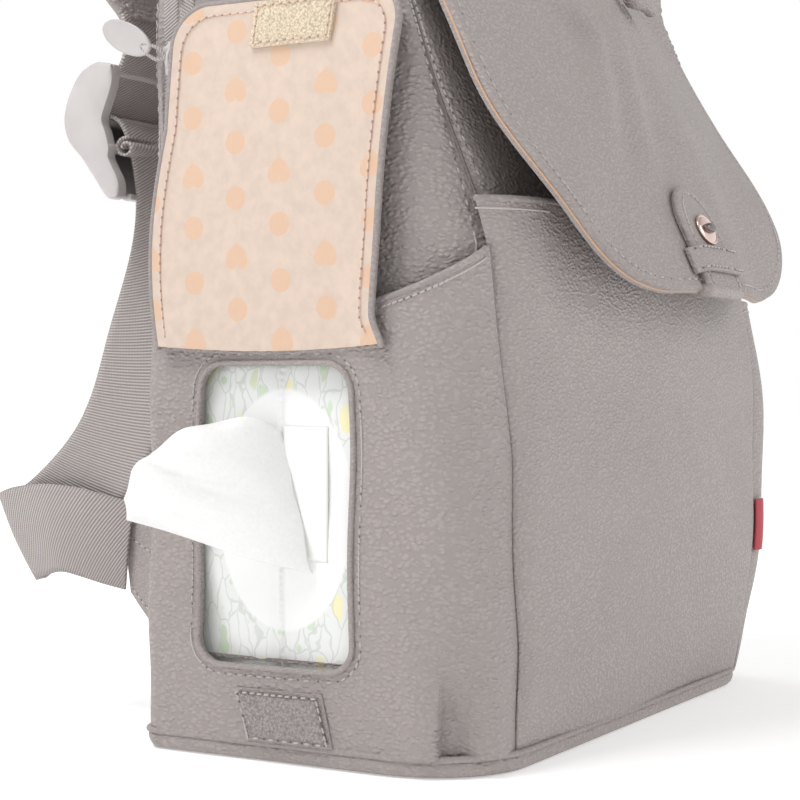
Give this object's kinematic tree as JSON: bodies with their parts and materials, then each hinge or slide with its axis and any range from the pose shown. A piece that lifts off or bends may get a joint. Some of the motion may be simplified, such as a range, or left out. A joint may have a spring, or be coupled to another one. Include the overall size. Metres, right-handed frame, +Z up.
{
  "type": "diaper backpack",
  "caption": "Upright leather diaper backpack with a round-edged front flap, a front pocket, a side wipes pocket with a window and cover, and two webbing shoulder straps.",
  "frame": {"origin": "on the base's resting face, midway across the width and midway between the body's front panel and back panel", "axes": "+Z up, -Y towards the front pocket, -X towards the wipes window"},
  "size_m": [0.3421, 0.3145, 0.3995],
  "materials": {
    "leather": "pebbled, satin",
    "cloth_lining": "plain weave",
    "printed_lining": "plain weave with printed dots",
    "zip_tape": "woven tape",
    "zip_coil": "moulded coil",
    "rose_metal": "polished rose plating",
    "dark_metal": "dark plating",
    "magnet_cover": "stitched disc",
    "grey_plastic": "moulded, satin",
    "webbing": "twill webbing",
    "hook_tape": "hook tape",
    "loop_tape": "loop tape",
    "red_tag": "woven ribbon",
    "pack_film": "glossy printed film",
    "wipe_cloth": "damp nonwoven",
    "base_foam": "closed-cell foam board"
  },
  "bodies": {
    "bag": {"back_pad": "leather", "back_panel": "leather", "base_binding": "leather", "base_board": "base_foam", "base_piping": "leather", "base_sheet": "leather", "bottle_pocket_face": "leather", "bottle_pocket_gussets": "leather", "front_panel": "leather", "front_pocket_face": "leather", "front_pocket_gussets": "leather", "front_pocket_hem": "leather", "front_yoke": "leather", "handle_anchors": "leather", "left_gusset": "leather", "lining": "cloth_lining", "loop_patch": "loop_tape", "pocket_magnet": "magnet_cover", "right_gusset": "leather", "side_tag": "red_tag", "strap_anchors": "webbing", "top_back_facing": "leather", "top_front_facing": "leather", "window_rim": "leather", "wing_tabs": "leather", "wipes_flap_seam_strip": "leather", "wipes_pack": "pack_film", "wipes_pocket_panel": "leather", "wipes_sleeve": "cloth_lining", "zip_coil": "zip_coil", "zip_end_stop": "zip_coil", "zip_tapes": "zip_tape"},
    "main_flap": {"main_flap_leather": "leather", "main_flap_lining": "cloth_lining", "closure_tab": "leather", "closure_keeper": "leather", "closure_plate": "rose_metal", "flap_magnet": "magnet_cover", "flap_toggles": "leather"},
    "turn_button": {"closure_turn_button": "dark_metal"},
    "wipes_flap": {"wipes_flap_leather": "leather", "wipes_flap_lining": "printed_lining", "hook_strip": "hook_tape"},
    "zip_slider": {"zip_slider": "rose_metal"},
    "zip_puller": {"zip_puller": "grey_plastic", "puller_loop": "webbing"},
    "wipe": {"wipe_sheet": "wipe_cloth"},
    "grab_handle": {"grab_handle": "leather"},
    "left_strap": {"left_strap_pad": "leather", "left_upper_webbing": "webbing", "left_ladder_lock": "grey_plastic", "left_lower_webbing": "webbing", "left_webbing_tail": "webbing"},
    "right_strap": {"right_strap_pad": "leather", "right_upper_webbing": "webbing", "right_ladder_lock": "grey_plastic", "right_lower_webbing": "webbing", "right_webbing_tail": "webbing"}
  },
  "joints": [
    {"name": "main_flap_hinge", "type": "hinge", "parent": "bag", "child": "main_flap", "pos_m": [0, 0.066, 0.3495], "axis": [-1, 0, 0], "range_deg": [0, 95]},
    {"name": "turn_button_turn", "type": "hinge", "parent": "main_flap", "child": "turn_button", "pos_m": [0, -0.10439, 0.21652], "axis": [0, -0.9098, 0.415], "range_deg": [0, 90]},
    {"name": "wipes_flap_hinge", "type": "hinge", "parent": "bag", "child": "wipes_flap", "pos_m": [-0.156, 0.0145, 0.16], "axis": [0, -1, 0], "range_deg": [0, 176]},
    {"name": "wipe_fold", "type": "hinge", "parent": "bag", "child": "wipe", "pos_m": [-0.1524, 0.009, 0.108], "axis": [0, -1, 0], "range_deg": [0, 118]},
    {"name": "zip_slide", "type": "slide", "parent": "bag", "child": "zip_slider", "axis": [0, 0, 1], "range_m": [-0.012, 0.058]},
    {"name": "puller_swing", "type": "hinge", "parent": "zip_slider", "child": "zip_puller", "pos_m": [-0.15465, 0.058, 0.276], "axis": [1, 0, 0], "range_deg": [-85, 85]},
    {"name": "left_strap_swing", "type": "hinge", "parent": "bag", "child": "left_strap", "pos_m": [-0.105, 0.094, 0.33], "axis": [0, 0.0791, -0.9969], "range_deg": [-25, 25]},
    {"name": "right_strap_swing", "type": "hinge", "parent": "bag", "child": "right_strap", "pos_m": [0.105, 0.094, 0.33], "axis": [0, 0.0791, -0.9969], "range_deg": [-25, 25]},
    {"name": "grab_handle_hinge", "type": "hinge", "parent": "bag", "child": "grab_handle", "pos_m": [0, 0.084, 0.33], "axis": [-1, 0, 0], "range_deg": [0, 85]}
  ],
  "couplings": [
    {"joint": "wipe_fold", "follows": "wipes_flap_hinge", "ratio": 0.67046}
  ]
}
